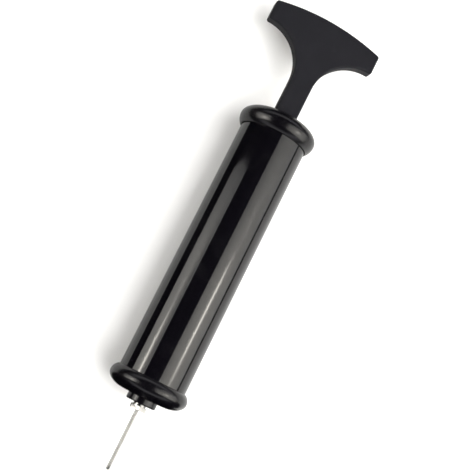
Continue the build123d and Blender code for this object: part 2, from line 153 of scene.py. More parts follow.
def soften(piece, width, segments=3):
    """Round every sharp edge by width, then shade the rest smooth."""
    bevel = piece.modifiers.new("edges", "BEVEL")
    bevel.width, bevel.segments = width, segments
    bevel.limit_method, bevel.angle_limit = "ANGLE", SHARP
    apply_modifiers(piece)
    return smooth(piece)


def turn(name, outline, steps=160, edge=0.12 * MM):
    """Spin a closed outline of (radius, y) points once round the pump's axis."""
    piece = draw_chain(name, [(r, y, AXIS_Z) for r, y in outline])
    bpy.ops.mesh.spin(steps=steps, angle=math.tau, center=(0, 0, AXIS_Z), axis=(0, 1, 0))
    bpy.ops.mesh.select_all(action="SELECT")
    bpy.ops.mesh.remove_doubles(threshold=MERGE)
    bpy.ops.mesh.normals_make_consistent(inside=False)
    bpy.ops.object.mode_set(mode="OBJECT")
    if edge:
        soften(piece, edge)
    print(name, "turned,", len(piece.data.polygons), "faces")
    return piece


def combine(piece, tool, operation):
    """Cut the piece with a tool, join them into one skin, or keep what they share; the tool goes."""
    boolean = piece.modifiers.new("boolean", "BOOLEAN")
    boolean.operation, boolean.object, boolean.solver = operation, tool, "EXACT"
    apply_modifiers(piece)
    bpy.data.objects.remove(tool)
    return piece


def stands_for(piece, node, body):
    """Hide a working part and let the new piece ride in its place."""
    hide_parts(node)
    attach(piece, body)


# %% [markdown]
# ## The barrel
# The barrel is a drawn tube with square ends hidden in the caps. It could stay a plain cylinder, but the
# long reflections that run down it show every facet, so it is turned with many more steps than the rest.

# %% Barrel
barrel_low, barrel_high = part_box("barrel")
barrel = turn("barrel_tube", closed([(BORE_R, barrel_low.y), (BARREL_R, barrel_low.y),
                                     (BARREL_R, barrel_high.y), (BORE_R, barrel_high.y)]), steps=256)
stands_for(barrel, "barrel", "barrel_assembly")

# %% [markdown]
# ## The bottom cap
# This cap is a bead: its underside is a shallow dome, its widest ring is what the pump lies on, and its
# upper side is a tight round shoulder that runs down to the barrel and ends in a thin edge. Inside, a ring
# and a threaded boss stand in the barrel's end. One closed section holds all of that.

# %% Bottom cap
CHEEK_R = 5.3 * MM
DOME_WIDTH = 10 * MM
EQUATOR = 5.8
PLUG_TOP = 9
BOSS_TOP = 10
FLOOR = 5.2
bottom_edge_r = 18.45 * MM
edge_deg = math.degrees(math.acos((bottom_edge_r - BEAD_R + CHEEK_R) / CHEEK_R))
groove_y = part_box("barrel_gasket")[0].y - PRESSED
plug_r = 14.2 * MM
boss_r = 9.2 * MM
nozzle_r = 6.23 * MM
rebate = 1.2
bottom_section = bend(BEAD_R - DOME_WIDTH, along(EQUATOR), DOME_WIDTH, EQUATOR * MM, -90, 0, 28)
bottom_section += bend(BEAD_R - CHEEK_R, along(EQUATOR), CHEEK_R, CHEEK_R, 0, edge_deg, 18)[1:]
bottom_section += [(BARREL_R + PRESSED, bottom_section[-1][1]), (BARREL_R + PRESSED, groove_y),
                   (BORE_R - PRESSED, groove_y), (BORE_R - PRESSED, along(PLUG_TOP)),
                   (plug_r, along(PLUG_TOP)), (plug_r, along(FLOOR)), (boss_r, along(FLOOR)),
                   (boss_r, along(BOSS_TOP)), (nozzle_r, along(BOSS_TOP)), (nozzle_r, along(rebate)),
                   (nozzle_r + rebate * MM, along(rebate)), (nozzle_r + rebate * MM, along(0))]
bottom_cap = turn("bottom_cap_bead", closed(bottom_section), steps=224)
stands_for(bottom_cap, "bottom_cap", "barrel_assembly")

# %% [markdown]
# ## The top cap
# The second bead is fuller, with a lip that overhangs the barrel and leaves a dark gap round it. Its roof
# closes the end, apart from a slot for the flat rod. The turned section runs to the axis, where all its
# steps meet in one pole, and the slot is cut afterwards with a bar that is a little wider than the rod.

# %% A rounded bar to cut with
def rounded_block(name, low, high, corner, turned_edges="Y"):
    """A box between two corners whose edges along one axis are rounded; a tool for cutting slots."""
    low, high = Vector(low), Vector(high)
    bpy.ops.object.select_all(action="DESELECT")
    bpy.ops.mesh.primitive_cube_add(size=1, location=(low + high) / 2)
    block = bpy.context.object
    block.name = block.data.name = name
    block.scale = high - low
    bpy.ops.object.transform_apply(location=True, rotation=True, scale=True)
    axis = "XYZ".index(turned_edges)
    bpy.ops.object.mode_set(mode="EDIT")
    bpy.ops.mesh.select_all(action="DESELECT")
    bpy.ops.mesh.select_mode(type="EDGE")
    bpy.ops.object.mode_set(mode="OBJECT")
    for edge in block.data.edges:
        a, b = (block.data.vertices[i].co for i in edge.vertices)
        edge.select = abs((b - a)[axis]) > MERGE
    bpy.ops.object.mode_set(mode="EDIT")
    bpy.ops.mesh.bevel(offset=corner, segments=8, affect="EDGES")
    bpy.ops.mesh.select_mode(type="VERT")
    bpy.ops.object.mode_set(mode="OBJECT")
    return block


# %% Top cap
TOP_CHEEK_R = 7.5 * MM
TOP_DOME = 12 * MM
TOP_EQUATOR = 152.9
LIP = 147.5
LIP_GAP_HEIGHT = 1.4
FLANGE_TOP = 151
lip_deg = -math.degrees(math.asin((TOP_EQUATOR - LIP) * MM / TOP_CHEEK_R))
roof_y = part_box("top_cap")[1].y
roof_rise = roof_y - along(TOP_EQUATOR)
recess_r = 13.03 * MM
recess_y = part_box("rod_wiper")[1].y + PRESSED
flange_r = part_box("rod_guide")[1].x + PRESSED
flange_y = along(FLANGE_TOP)
guide_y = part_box("rod_guide")[0].y
lip_gap_r = 18.35 * MM
lip_gap_y = along(LIP + LIP_GAP_HEIGHT)
top_section = bend(BEAD_R - TOP_CHEEK_R, along(TOP_EQUATOR), TOP_CHEEK_R, TOP_CHEEK_R, lip_deg, 0, 22)
top_section += bend(BEAD_R - TOP_DOME, along(TOP_EQUATOR), TOP_DOME, roof_rise, 0, 90, 30)[1:]
top_section += [(0, roof_y), (0, recess_y), (recess_r, recess_y), (recess_r, flange_y), (flange_r, flange_y),
                (flange_r, guide_y), (BORE_R - PRESSED, guide_y), (BORE_R - PRESSED, barrel_high.y + PRESSED),
                (BARREL_R + PRESSED, barrel_high.y + PRESSED), (BARREL_R + PRESSED, lip_gap_y),
                (lip_gap_r, lip_gap_y), (lip_gap_r, along(LIP))]
top_cap = turn("top_cap_bead", closed(top_section), steps=224, edge=0)
rod_low, rod_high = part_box("handle_rod")
ROD_HALF = 6.2 * MM
ROD_THICK = (rod_high.z - rod_low.z) / 2
ROD_EDGE = 1.2 * MM
slot_gap = 0.45 * MM
slot_bar = rounded_block("slot_bar", (-ROD_HALF - slot_gap, recess_y - MM, AXIS_Z - ROD_THICK - slot_gap),
                         (ROD_HALF + slot_gap, roof_y + MM, AXIS_Z + ROD_THICK + slot_gap),
                         ROD_EDGE + slot_gap)
soften(combine(top_cap, slot_bar, "DIFFERENCE"), 0.2 * MM)
stands_for(top_cap, "top_cap", "barrel_assembly")
print("top cap faces:", len(top_cap.data.polygons))

# %% [markdown]
# ## The nozzle
# Only the nozzle's collar shows, under the bottom cap, but the whole fitting is turned: its shank goes up
# through the cap, and its stepped bore holds the brass insert, the spring, the ball and the seat. The
# collar's outer corner has a generous round, and its mouth has a small one.

# %% Nozzle
collar_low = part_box("nozzle_body")[0].y
collar_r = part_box("nozzle_body")[1].x
collar_round = 0.7 * MM
mouth_r = 4.15 * MM
shank_r = 6.2 * MM
shank_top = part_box("nozzle_body")[1].y
seat_pocket_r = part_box("valve_seat")[1].x + PRESSED
seat_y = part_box("valve_seat")[0].y - PRESSED
chamber_r = 2.9 * MM
insert_low, insert_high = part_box("nozzle_insert")
pocket_r = insert_high.x + PRESSED
nozzle_section = [(mouth_r, collar_low)]
nozzle_section += bend(collar_r - collar_round, collar_low + collar_round, collar_round, collar_round,
                       -90, 0, 8)
nozzle_section += [(collar_r, along(0) - PRESSED), (shank_r, along(0) - PRESSED), (shank_r, shank_top),
                   (seat_pocket_r, shank_top), (seat_pocket_r, seat_y), (chamber_r, seat_y),
                   (chamber_r, insert_high.y + PRESSED), (pocket_r, insert_high.y + PRESSED),
                   (pocket_r, insert_low.y - PRESSED), (mouth_r, insert_low.y - PRESSED)]
nozzle = turn("nozzle_collar", closed(nozzle_section), steps=128)
stands_for(nozzle, "nozzle_body", "barrel_assembly")

# %% [markdown]
# ## The handle
# Grip and rod are one flat moulding. Its outline is drawn as half a chain, from the foot of the rod up the
# shank, through the finger arc, round the arm's end and along the arched top, and then mirrored. The chain
# becomes a face, the face is extruded to the moulding's thickness, and its rims are bevelled with many
# segments, which gives the soft rounded rim that the light runs along.

# %% Handle outline
THROAT_R = 22.9 * MM
THROAT_START = 180.2
ARM_END = 214.0
CORNER_R = 1.4 * MM
UNDER_R = 1.3 * MM
grip_half = rod_high.x
crown_y = rod_high.y
crown_rise = crown_y - along(ARM_END)
crown_r = (grip_half ** 2 + crown_rise ** 2) / (2 * crown_rise)
arm_y = along(THROAT_START) + THROAT_R
corner_x = grip_half - CORNER_R
corner_rise = math.sqrt((crown_r - CORNER_R) ** 2 - corner_x ** 2)
corner_deg = math.degrees(math.atan2(corner_rise, corner_x))
half_outline = [(ROD_HALF, rod_low.y)]
half_outline += bend(ROD_HALF + THROAT_R, along(THROAT_START), THROAT_R, THROAT_R, 180, 90, 28)
half_outline += bend(grip_half - UNDER_R, arm_y + UNDER_R, UNDER_R, UNDER_R, -90, 0, 8)
half_outline += bend(corner_x, crown_y - crown_r + corner_rise, CORNER_R, CORNER_R, 0, corner_deg, 8)
half_outline += bend(0, crown_y - crown_r, crown_r, crown_r, corner_deg, 90, 12)[1:]
whole_outline = half_outline + [(-x, y) for x, y in reversed(half_outline[:-1])]
print("handle outline points:", len(whole_outline), f"crown radius {crown_r / MM:.0f} mm")

# %% Handle body
handle = draw_chain("handle_grip_rod", closed([(x, y, AXIS_Z - ROD_THICK) for x, y in whole_outline]))
bpy.ops.mesh.remove_doubles(threshold=MERGE)
bpy.ops.mesh.edge_face_add()
bpy.ops.mesh.extrude_region_move(TRANSFORM_OT_translate={"value": (0, 0, 2 * ROD_THICK)})
bpy.ops.mesh.select_all(action="SELECT")
bpy.ops.mesh.normals_make_consistent(inside=False)
bpy.ops.mesh.select_all(action="DESELECT")
bpy.ops.mesh.select_mode(type="EDGE")
bpy.ops.object.mode_set(mode="OBJECT")
for edge in handle.data.edges:
    a, b = (handle.data.vertices[i].co for i in edge.vertices)
    foot = max(a.y, b.y) < rod_low.y + MERGE
    edge.select = abs(a.z - b.z) < MERGE and not foot
bpy.ops.object.mode_set(mode="EDIT")
bpy.ops.mesh.bevel(offset=ROD_EDGE, segments=8, affect="EDGES", clamp_overlap=False)
bpy.ops.mesh.select_mode(type="VERT")
bpy.ops.object.mode_set(mode="OBJECT")
print("handle faces:", len(handle.data.polygons))

# %% [markdown]
# ## Lightening pockets
# A thick moulding sinks as it cools, so the rod is cored out with five shallow pockets on each broad face.
# They show when the handle is pulled out. One block is modelled once, and its copies are cut out of the
# rod, together with the hole for the piston's screw. A fine bevel then rounds every cut edge.

# %% Pockets and screw hole
POCKETS = 5
POCKET_HALF_WIDTH = 3.5 * MM
POCKET_LENGTH = 18 * MM
POCKET_DEPTH = 2.4 * MM
POCKET_PITCH = 21 * MM
POCKET_CORNER = 1.5 * MM
SCREW_HOLE_R = 1.93 * MM
SCREW_HOLE_LENGTH = 34 * MM
first_pocket_y = along(41)
pocket_block = rounded_block("pocket",
                             (-POCKET_HALF_WIDTH, first_pocket_y, AXIS_Z + ROD_THICK - POCKET_DEPTH),
                             (POCKET_HALF_WIDTH, first_pocket_y + POCKET_LENGTH, AXIS_Z + ROD_THICK + MM),
                             POCKET_CORNER, turned_edges="Z")
for face_side in (1, -1):
    for step in range(POCKETS):
        cutter = pocket_block.copy()
        cutter.data = pocket_block.data.copy()
        bpy.context.collection.objects.link(cutter)
        cutter.location.y = step * POCKET_PITCH
        if face_side < 0:
            cutter.location.z = -2 * ROD_THICK + POCKET_DEPTH - MM
        combine(handle, cutter, "DIFFERENCE")
bpy.data.objects.remove(pocket_block)
bpy.ops.object.select_all(action="DESELECT")
bpy.ops.mesh.primitive_cylinder_add(vertices=48, radius=SCREW_HOLE_R, depth=SCREW_HOLE_LENGTH,
                                    location=(0, along(21), AXIS_Z), rotation=(math.pi / 2, 0, 0))
combine(handle, bpy.context.object, "DIFFERENCE")
soften(handle, 0.15 * MM, segments=2)
stands_for(handle, "handle_rod", "plunger")
print("handle with pockets:", len(handle.data.polygons), "faces")

# %% [markdown]
# ## The needle's hub
# The hub is a small hexagon with chamfered corners, a neck and a threaded stub. A real hexagon is turned
# first and milled later, which leaves curved chamfer lines on its flats. The same two steps work here: a
# six-sided prism keeps only what it shares with a chamfered turned blank.

# %% Hexagon, neck and stub core
hub_low, hub_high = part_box("needle_hub")
HEX_FLATS = 7.9 * MM
HEX_TOP = -4.4
STUB_FOOT = -3.6
CHAMFER = 0.35 * MM
neck_r = 3.3 * MM
crest_r = 3.80 * MM
root_r = 3.33 * MM
bore_r = 0.6 * MM
tube_socket_r = 1.265 * MM
socket_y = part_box("needle_tube")[1].y + PRESSED
hex_corner_r = HEX_FLATS / 2 / math.cos(math.radians(30))
hex_top_y = along(HEX_TOP)
blank = turn("hexagon_blank", closed([(0, hub_low.y), (hex_corner_r - CHAMFER, hub_low.y),
                                      (hex_corner_r, hub_low.y + CHAMFER),
                                      (hex_corner_r, hex_top_y - CHAMFER),
                                      (hex_corner_r - CHAMFER, hex_top_y), (0, hex_top_y)]), 96, edge=0)
bpy.ops.object.select_all(action="DESELECT")
bpy.ops.mesh.primitive_cylinder_add(vertices=6, radius=hex_corner_r, depth=4 * MM,
                                    rotation=(math.pi / 2, 0, 0),
                                    location=(0, (hub_low.y + hex_top_y) / 2, AXIS_Z))
prism = bpy.context.object
bpy.ops.object.transform_apply(location=True, rotation=True, scale=True)
hexagon = combine(blank, prism, "INTERSECT")
neck_foot_y = hex_top_y - 0.5 * MM
stub = turn("hub_stub", closed([(0, neck_foot_y), (neck_r, neck_foot_y),
                                (neck_r, along(STUB_FOOT)), (root_r, along(STUB_FOOT)),
                                (root_r, hub_high.y - CHAMFER), (root_r - CHAMFER, hub_high.y),
                                (0, hub_high.y)]), 96, edge=0)
hub = combine(hexagon, stub, "UNION")
air_way = turn("air_way", closed([(0, hub_low.y - MM), (tube_socket_r, hub_low.y - MM),
                                  (tube_socket_r, socket_y), (bore_r, socket_y),
                                  (bore_r, hub_high.y + MM), (0, hub_high.y + MM)]), 48, edge=0)
hub = combine(hub, air_way, "DIFFERENCE")
soften(hub, 0.06 * MM, segments=2)
hub.name = hub.data.name = "needle_hub_threaded"
print("hub faces:", len(hub.data.polygons))

# %% [markdown]
# ## The thread
# Every ball needle has the same right-handed thread, 32 turns to the inch. A thread is a small profile that
# turns and climbs at once, which is exactly what the Screw modifier does. The profile is the rib between
# two roots. It is drawn once, screwed up the stub, and its two open ends are closed with a face.

# %% Screwing a profile along the axis
THREAD_PITCH = 25.4 / 32 * MM


def screw_profile(name, profile, climb, turns, steps_per_turn):
    """Screw a closed (radius, y) profile up the pump's axis and close its two ends."""
    piece = draw_chain(name, [(r, y, 0) for r, y in closed(profile)])
    bpy.ops.mesh.remove_doubles(threshold=MERGE)
    bpy.ops.object.mode_set(mode="OBJECT")
    screw = piece.modifiers.new("screw", "SCREW")
    screw.axis, screw.angle, screw.screw_offset = "Y", math.tau * turns, climb
    screw.steps = screw.render_steps = int(steps_per_turn * turns)
    apply_modifiers(piece)
    bpy.ops.object.mode_set(mode="EDIT")
    bpy.ops.mesh.select_all(action="SELECT")
    bpy.ops.mesh.fill_holes(sides=0)
    bpy.ops.mesh.select_all(action="SELECT")
    bpy.ops.mesh.normals_make_consistent(inside=False)
    bpy.ops.object.mode_set(mode="OBJECT")
    piece.location.z = AXIS_Z
    bpy.ops.object.transform_apply(location=True, rotation=True, scale=True)
    smooth(piece)
    print(name, "screwed,", len(piece.data.polygons), "faces")
    return piece


# %% Thread on the stub
thread_foot = along(STUB_FOOT) + 0.15 * MM
thread_turns = 6
half_rib = 0.36 * MM
half_crest = 0.06 * MM
sunk_r = root_r - 0.1 * MM
rib = [(sunk_r, thread_foot), (root_r, thread_foot), (crest_r, thread_foot + half_rib - half_crest),
       (crest_r, thread_foot + half_rib + half_crest), (root_r, thread_foot + 2 * half_rib),
       (sunk_r, thread_foot + 2 * half_rib)]
thread = screw_profile("hub_thread", rib, THREAD_PITCH * thread_turns, thread_turns, 48)
only(hub)
thread.select_set(True)
bpy.ops.object.join()
stands_for(hub, "needle_hub", "needle")

# %% [markdown]
# ## The needle
# The needle is a thin drawn tube with a round closed tip. Air leaves through a small slot in its side, so
# that the tip can push a valve open without plugging itself. The tube is turned with its bore, the root
# that is pressed into the hub is a little thicker, and the slot is cut with a rounded block.

# %% Needle tube
TUBE_R = 0.95 * MM
ROOT_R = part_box("needle_tube")[1].x
tip_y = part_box("needle_tube")[0].y
tip_middle = tip_y + TUBE_R
tube_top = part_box("needle_tube")[1].y
tube_section = bend(0, tip_middle, TUBE_R, TUBE_R, -90, 0, 14)
tube_section += [(TUBE_R, hub_low.y), (ROOT_R, hub_low.y), (ROOT_R, tube_top), (bore_r, tube_top)]
tube_section += bend(0, tip_middle, bore_r, bore_r, 0, -90, 8)
tube = turn("needle_tube_hollow", tube_section, 64, edge=0)
SLOT_HALF = 0.4 * MM
slot_middle = tip_y + 1.6 * MM
air_slot = rounded_block("air_slot", (-SLOT_HALF, slot_middle - 2 * SLOT_HALF, AXIS_Z),
                         (SLOT_HALF, slot_middle + 2 * SLOT_HALF, AXIS_Z + 2 * TUBE_R), 0.99 * SLOT_HALF, "Z")
soften(combine(tube, air_slot, "DIFFERENCE"), 0.03 * MM, segments=2)
stands_for(tube, "needle_tube", "needle")

# %% [markdown]
# ## The valve's spring
# A small coil of wire holds the check ball on its seat. It is another screwed profile, this time a circle
# that stands off the axis. When the ball lifts, the coil shortens; here it is made at its full length.

# %% Valve spring
spring_low, spring_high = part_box("valve_spring")
WIRE_R = 0.18 * MM
COIL_R = 1.35 * MM
COIL_TURNS = 4.5
coil_length = spring_high.y - spring_low.y
coil_climb = coil_length - 2 * WIRE_R
wire_section = bend(COIL_R, spring_low.y + WIRE_R, WIRE_R, WIRE_R, 0, 330, 11)
spring = screw_profile("valve_coil", wire_section, coil_climb, COIL_TURNS, 40)
stands_for(spring, "valve_spring", "barrel_assembly")
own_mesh(spring)

# %% [markdown]
# ## The table and the studio
# The pump lies on a plain white table between two soft boxes, a large one high on the right and a smaller
# one low on the left. A polished black tube shows almost nothing but those boxes: each is a long grey
# stripe with a brighter core where its lamp sits, and between them the dark room shows as black. So the
# boxes are real panels at real distances. The table that shows is one wide top, kept out of reflections.
# In its place the pump mirrors two greyer boards beside it, as painted shade: darker copies of the table that
# dim its reflection. They stop short at the needle's end, which keeps the bottom cap's rim dark against the
# white.
# A round wall closes the background.

# %% Table and backdrop
def stage_plane(name, width, length, place, angle=0.0):
    """A flat rectangle, turned about the Y axis, cut into a few faces."""
    bpy.ops.object.select_all(action="DESELECT")
    bpy.ops.mesh.primitive_grid_add(x_subdivisions=8, y_subdivisions=8, size=1, location=place,
                                    rotation=(0, angle, 0))
    plane = bpy.context.object
    plane.name = plane.data.name = name
    plane.scale = (width, length, 1)
    bpy.ops.object.transform_apply(location=False, rotation=False, scale=True)
    return plane


TABLE_SIDE = 6
TABLE_DROP = 0.05 * MM
BOARD_DROP = 0.02 * MM
table = stage_plane("table_top", TABLE_SIDE, TABLE_SIDE, (0, 0, -TABLE_DROP))
table.visible_glossy = False


def shaded_mirror_board(name, x_range, y_range):
    """A stretch of table that only reflections see."""
    board = stage_plane(name, x_range[1] - x_range[0], y_range[1] - y_range[0],
                        (sum(x_range) / 2, sum(y_range) / 2, -BOARD_DROP))
    board.visible_camera = board.visible_diffuse = board.visible_shadow = False
    return board


# Painted shade in reflections: these boards are greyer than the table they stand in for.
shade_board_left = shaded_mirror_board("shade_board_left", (-0.091, 0.03), (-0.094, 0.20))
shade_board_right = shaded_mirror_board("shade_board_right", (0.03, 0.60), (-0.108, 0.24))
bpy.ops.object.select_all(action="DESELECT")
bpy.ops.mesh.primitive_uv_sphere_add(segments=48, ring_count=24, radius=3, location=(0, 0, 0))
wall = bpy.context.object
wall.name = wall.data.name = "round_wall"
wall.visible_glossy = wall.visible_diffuse = wall.visible_shadow = False

# %% [markdown]
# ## Soft boxes
# `soft_box` stands a glowing panel on a circle round the pump's axis, at an angle from straight up, facing
# the pump. Real boxes are brighter near their lamps, so each panel's glow changes along and across it.
# `glow_panel` paints that with the panel's own coordinates. A key light fills the table from the right, and
# a weaker one from above softens the shadow. Both are kept out of reflections.

# %% Panels
def soft_box(name, degrees, distance, width, y_range):
    """A panel over the pump, its long side along the axis, seen only in reflections and by its light."""
    angle = math.radians(degrees)
    place = (distance * math.sin(angle), sum(y_range) / 2, AXIS_Z + distance * math.cos(angle))
    panel = stage_plane(name, width, y_range[1] - y_range[0], place, angle)
    panel.visible_camera = panel.visible_shadow = False
    return panel


box_right = soft_box("box_right", 49.5, 0.70, 1.02, (-0.34, 0.42))
lamp_right = soft_box("lamp_right", 48.3, 0.66, 0.082, (-0.11, 0.12))
box_left = soft_box("box_left", -60.4, 0.70, 0.575, (-0.30, 0.20))
lamp_left = soft_box("lamp_left", -56.7, 0.66, 0.080, (-0.24, 0.02))

# %% Key light and dark room
def area_light(name, place, size, watts):
    """A square lamp that faces the pump, kept out of reflections."""
    bpy.ops.object.light_add(type="AREA", location=place)
    lamp = bpy.context.object
    lamp.name = lamp.data.name = name
    lamp.rotation_euler = (-Vector(place)).to_track_quat("-Z", "Y").to_euler()
    lamp.data.shape, lamp.data.size, lamp.data.energy = "SQUARE", size, watts
    lamp.visible_glossy = False


area_light("key_light", (0.50, -0.05, 0.78), size=0.85, watts=15)
area_light("fill_light", (0, 0, 1.1), size=1.2, watts=7)
world = bpy.data.worlds.new("dark_room")
world.use_nodes = True
bpy.context.scene.world = world
world.cycles_visibility.diffuse = False
bpy.context.scene.view_settings.view_transform = "Standard"

# %% [markdown]
# ## The camera
# The camera looks down on the table from the needle's side, leaning a little to the left, with the pump's
# handle turned to the upper right. Its direction is built from three angles: how far it recedes along the
# pump, how far it leans across it, and how far the whole view is turned. It aims a little beside the axis,
# at the middle of the pump's length, and a long lens from half a metre away keeps the pump's sides nearly
# parallel.

# %% Camera
RECEDE = math.radians(9.5)
LEAN = math.radians(8.0)
TURN = math.radians(26.55)
AIM_HEIGHT = 93.6
AIM_ASIDE = 4.7 * MM
VIEW_DISTANCE = 515.1 * MM
LENS_LENGTH = 77.36
SENSOR_WIDTH = 36
forward = Vector((math.cos(RECEDE) * math.sin(LEAN), math.sin(RECEDE), -math.cos(RECEDE) * math.cos(LEAN)))
pump_axis = Vector((0, 1, 0))
along_view = (pump_axis - forward * pump_axis.dot(forward)).normalized()
across_view = forward.cross(along_view)
aim = Vector((0, along(AIM_HEIGHT), AXIS_Z)) + across_view * AIM_ASIDE
up = Matrix.Rotation(-TURN, 3, forward) @ along_view
bpy.ops.object.camera_add(location=aim - forward * VIEW_DISTANCE)
camera = bpy.context.object
camera.rotation_mode = "QUATERNION"
camera.rotation_quaternion = Matrix((forward.cross(up), up, -forward)).transposed().to_quaternion()
camera.data.sensor_width = SENSOR_WIDTH
camera.data.lens = LENS_LENGTH
camera.data.clip_start = 0.01
bpy.context.scene.camera = camera
print(f"camera {(camera.location - aim).length:.3f} m away, lens {camera.data.lens:.0f} mm")

# %% [markdown]
# ## Painting with numbers
# Every finish below is worked out from the place on the piece, with no pictures. The node tree is written
# as plain arithmetic: `Wire` wraps one socket, and +, -, * and ** on it add Math nodes. Anything else comes
# from `node`, which takes a node's type, its settings and what goes into its sockets. Colours are blended
# with Mix nodes, because arithmetic on a colour turns it grey.

# %% Wire, a socket that can be calculated with
class Wire:
    """One value in a material's tree; arithmetic on it adds Math nodes."""

    def __init__(self, tree, socket=None):
        self.tree, self.socket = tree, socket

    def node(self, kind, settings, inputs, output=0):
        """Add any node: its settings are set first, then the values or links of its sockets."""
        made = self.tree.nodes.new("ShaderNode" + kind)
        for name, value in settings.items():
            setattr(made, name, value)
        for name, value in inputs.items():
            if isinstance(value, Wire):
                self.tree.links.new(value.socket, made.inputs[name])
            else:
                made.inputs[name].default_value = value
        return Wire(self.tree, made.outputs[output])

    def math(self, operation, first, second=0.0):
        return self.node("Math", {"operation": operation}, {0: first, 1: second})

    def __add__(self, other):
        return self.math("ADD", self, other)

    def __sub__(self, other):
        return self.math("SUBTRACT", self, other)

    def __rsub__(self, other):
        return self.math("SUBTRACT", other, self)

    def __mul__(self, other):
        return self.math("MULTIPLY", self, other)

    def __pow__(self, other):
        return self.math("POWER", self, other)

    __radd__ = __add__
    __rmul__ = __mul__

    def between(self, low, high, to_low=0.0, to_high=1.0):
        """Spread the stretch from low to high over a new range, and hold it there outside."""
        return self.node("MapRange", {}, {0: self, 1: low, 2: high, 3: to_low, 4: to_high})

    def blend(self, from_colour, to_colour):
        """Mix two colours by this value."""
        ends = {6: from_colour, 7: to_colour}
        ends = {at: c if isinstance(c, Wire) else (*c, 1) for at, c in ends.items()}
        return self.node("Mix", {"data_type": "RGBA"}, {0: self, **ends}, output=2)

    def noise(self, scale, detail=3.0, roughness=0.5, warp=0.0):
        """Cloudy values from 0 to 1; the scale counts lumps per metre."""
        return self.node("TexNoise", {}, {"Vector": self, "Scale": scale, "Detail": detail,
                                          "Roughness": roughness, "Distortion": warp})

    def cells(self, scale, output=0):
        """Distance to the nearest of many scattered points, or its random colour from output 1."""
        return self.node("TexVoronoi", {"feature": "F1"}, {"Vector": self, "Scale": scale}, output)

    def stretched(self, x, y, z):
        """The same place with each direction multiplied, for patterns drawn out along a line."""
        return self.node("VectorMath", {"operation": "MULTIPLY"}, {0: self, 1: (x, y, z)})

    def parts(self):
        """The X, Y and Z of a place."""
        return [self.node("SeparateXYZ", {}, {0: self}, output=i) for i in range(3)]


# %% [markdown]
# ## One recipe for a finish
# A finish function gets the place on the piece and returns what changes there: its colour, its roughness,
# and relief as pairs of a pattern and its depth in metres. `finish` builds the shader, sets what is the
# same all over on its own sockets, and chains the relief through Bump nodes. Relief this fine is too small
# to model, and it only breaks up the light.

# %% Finish
def finish(name, paint, **even):
    """A procedural material: paint(place) gives what varies, and even gives what doesn't."""
    material = bpy.data.materials.new(name)
    material.use_nodes = True
    shader = material.node_tree.nodes["Principled BSDF"]
    for socket_name, value in even.items():
        shader.inputs[socket_name.replace("_", " ")].default_value = value
    start = Wire(material.node_tree)
    place = start.node("TexCoord", {}, {}, output=3)
    varying = paint(place)
    normal = None
    for pattern, depth in varying.pop("relief", []):
        inputs = {"Height": pattern, "Distance": depth, "Strength": 1.0}
        if normal:
            inputs["Normal"] = normal
        normal = start.node("Bump", {}, inputs)
    if normal:
        varying["Normal"] = normal
    for socket_name, wire in varying.items():
        material.node_tree.links.new(wire.socket, shader.inputs[socket_name])
    print("finish", name, "uses", len(material.node_tree.nodes), "nodes")
    return material


def wear(piece, material):
    """Give a piece or a carried-over working part its finish."""
    piece.data.materials.clear()
    piece.data.materials.append(material)


# %% [markdown]
# ## Polished black tube
# The barrel is black plastic with a high polish. Its colour is nearly nothing, so its gloss does all the
# work: the surface swells and dips a little along its length, which makes the long reflections waver, it
# has hands' faint smears, fine hairlines from being wiped along its length, and a few specks of dust.

# %% Barrel finish
def hairlines(place, across, lengthways, share):
    """Thin lines along Y: stretched noise, of which only the top share is kept."""
    streaks = place.stretched(across, lengthways, across).noise(1.0, 2.0, 0.4)
    return streaks.between(1.0 - share, 1.0 - share + 0.03)


def specks(place, scale, size):
    """Tiny round grains, one for each scattered point."""
    return 1 - place.cells(scale).between(size * 0.5, size)


def gloss_black(colour, smear_colour, swell_depth, polish):
    """Paint for polished black plastic, with smears, hairlines and dust."""
    def paint(place):
        smears = place.noise(55, 3.0, 0.6, 0.6).between(0.52, 0.72)
        wiped = place.stretched(900, 22, 900).noise(1.0, 3.0, 0.6)
        lines = hairlines(place, 2600, 26, 0.30)
        dust = specks(place, 420, 0.045)
        swell = place.stretched(34, 16, 34).noise(1.0, 2.0, 0.4)
        peel = place.noise(520, 1.0, 0.3)
        film = (smears * 0.55 + wiped.between(0.4, 0.75) * 0.25 + dust * 0.9).between(0, 1)
        return {
            "Base Color": film.blend(colour, smear_colour),
            "Roughness": polish + smears * 0.035 + wiped * 0.02 + lines * 0.05 + dust * 0.35,
            "relief": [(swell, swell_depth), (peel, 0.0016 * MM), (lines, 0.0004 * MM)],
        }
    return paint


barrel_finish = finish("polished_black_tube", gloss_black((0.0014, 0.0012, 0.0020), (0.0045, 0.0043, 0.0052),
                                                         0.05 * MM, 0.06), IOR=1.47)
wear(barrel, barrel_finish)

# %% [markdown]
# ## Polished black caps
# The caps and the nozzle are moulded in the same plastic. A moulding has a livelier skin than a drawn
# tube: faint flow marks run round it from the gate, and the beads pick up more scuffs at their widest
# ring, where the pump rolls and knocks on things.

